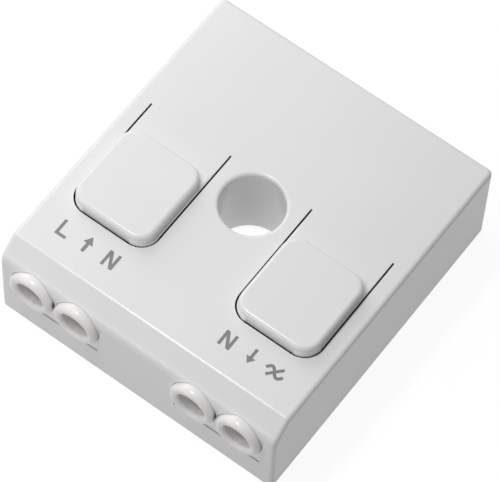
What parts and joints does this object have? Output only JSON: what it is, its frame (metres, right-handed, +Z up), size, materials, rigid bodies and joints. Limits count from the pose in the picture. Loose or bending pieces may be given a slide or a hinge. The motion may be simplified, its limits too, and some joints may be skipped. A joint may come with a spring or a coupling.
{
  "type": "bluetooth control unit",
  "caption": "Flat white mains dimmer module with a hole through its middle, push-in wire entries along the front edge and hinged tabs that open the wire clamps.",
  "frame": {"origin": "bottom centre of the whole unit, on the underside", "axes": "+Z up out of the top face, -Y towards the wire entries, +X to the right of someone who faces the entries from the front"},
  "size_m": [0.0362, 0.0404, 0.014],
  "materials": {
    "housing_plastic": "satin white polycarbonate",
    "terminal_plastic": "satin white polyamide",
    "tinned_copper": "tinned",
    "spring_steel": "rolled",
    "board_laminate": "solder mask",
    "moulded_package": "moulded",
    "film_box": "moulded",
    "can_sleeve": "sleeve",
    "ferrite": "sintered",
    "lacquer": "lacquered",
    "varistor_coating": "dipped",
    "shield_metal": "tin plated",
    "ceramic": "fired",
    "ceramic_tan": "fired",
    "header_plastic": "moulded"
  },
  "bodies": {
    "housing": {"top_cover": "housing_plastic", "base_cover": "housing_plastic", "terminal_block_left": "terminal_plastic", "terminal_block_right": "terminal_plastic", "contact_bar_live": "tinned_copper", "contact_bar_neutral_in": "tinned_copper", "contact_bar_neutral_out": "tinned_copper", "contact_bar_dimmed": "tinned_copper", "clamp_foot_live": "spring_steel", "clamp_foot_neutral_in": "spring_steel", "clamp_foot_neutral_out": "spring_steel", "clamp_foot_dimmed": "spring_steel", "circuit_board": "board_laminate", "dimmer_transistor_left": "moulded_package", "dimmer_transistor_right": "moulded_package", "bridge_rectifier": "moulded_package", "regulator_chip": "moulded_package", "driver_chip": "moulded_package", "film_capacitor": "film_box", "smoothing_capacitor_lying": "can_sleeve", "smoothing_capacitor_standing": "can_sleeve", "filter_choke": "ferrite", "fuse_resistor": "lacquer", "surge_varistor": "varistor_coating", "radio_board": "board_laminate", "radio_shield": "shield_metal", "radio_antenna": "ceramic", "header_pins": "header_plastic", "ceramic_capacitors": "ceramic_tan", "chip_resistors": "moulded_package"},
    "left_tab": {"release_tab_left": "housing_plastic"},
    "right_tab": {"release_tab_right": "housing_plastic"},
    "leaf_live": {"clamp_leaf_live": "spring_steel"},
    "leaf_neutral_in": {"clamp_leaf_neutral_in": "spring_steel"},
    "leaf_neutral_out": {"clamp_leaf_neutral_out": "spring_steel"},
    "leaf_dimmed": {"clamp_leaf_dimmed": "spring_steel"}
  },
  "joints": [
    {"name": "left_tab_hinge", "type": "hinge", "parent": "housing", "child": "left_tab", "pos_m": [-0.01071, 0.00444, 0.01225], "axis": [1, 0, 0], "range_deg": [0, 6], "stiffness_Nm_per_rad": 0.2},
    {"name": "right_tab_hinge", "type": "hinge", "parent": "housing", "child": "right_tab", "pos_m": [0.01071, 0.00444, 0.01225], "axis": [1, 0, 0], "range_deg": [0, 6], "stiffness_Nm_per_rad": 0.2},
    {"name": "leaf_live_hinge", "type": "hinge", "parent": "housing", "child": "leaf_live", "pos_m": [-0.01368, -0.01394, 0.00584], "axis": [1, 0, 0], "range_deg": [-24, 0]},
    {"name": "leaf_neutral_in_hinge", "type": "hinge", "parent": "housing", "child": "leaf_neutral_in", "pos_m": [-0.00773, -0.01394, 0.00584], "axis": [1, 0, 0], "range_deg": [-24, 0]},
    {"name": "leaf_neutral_out_hinge", "type": "hinge", "parent": "housing", "child": "leaf_neutral_out", "pos_m": [0.00773, -0.01394, 0.00584], "axis": [1, 0, 0], "range_deg": [-24, 0]},
    {"name": "leaf_dimmed_hinge", "type": "hinge", "parent": "housing", "child": "leaf_dimmed", "pos_m": [0.01368, -0.01394, 0.00584], "axis": [1, 0, 0], "range_deg": [-24, 0]}
  ],
  "couplings": [
    {"joint": "leaf_live_hinge", "follows": "left_tab_hinge", "ratio": -2.5},
    {"joint": "leaf_neutral_in_hinge", "follows": "left_tab_hinge", "ratio": -2.5},
    {"joint": "leaf_neutral_out_hinge", "follows": "right_tab_hinge", "ratio": -2.5},
    {"joint": "leaf_dimmed_hinge", "follows": "right_tab_hinge", "ratio": -2.5}
  ]
}
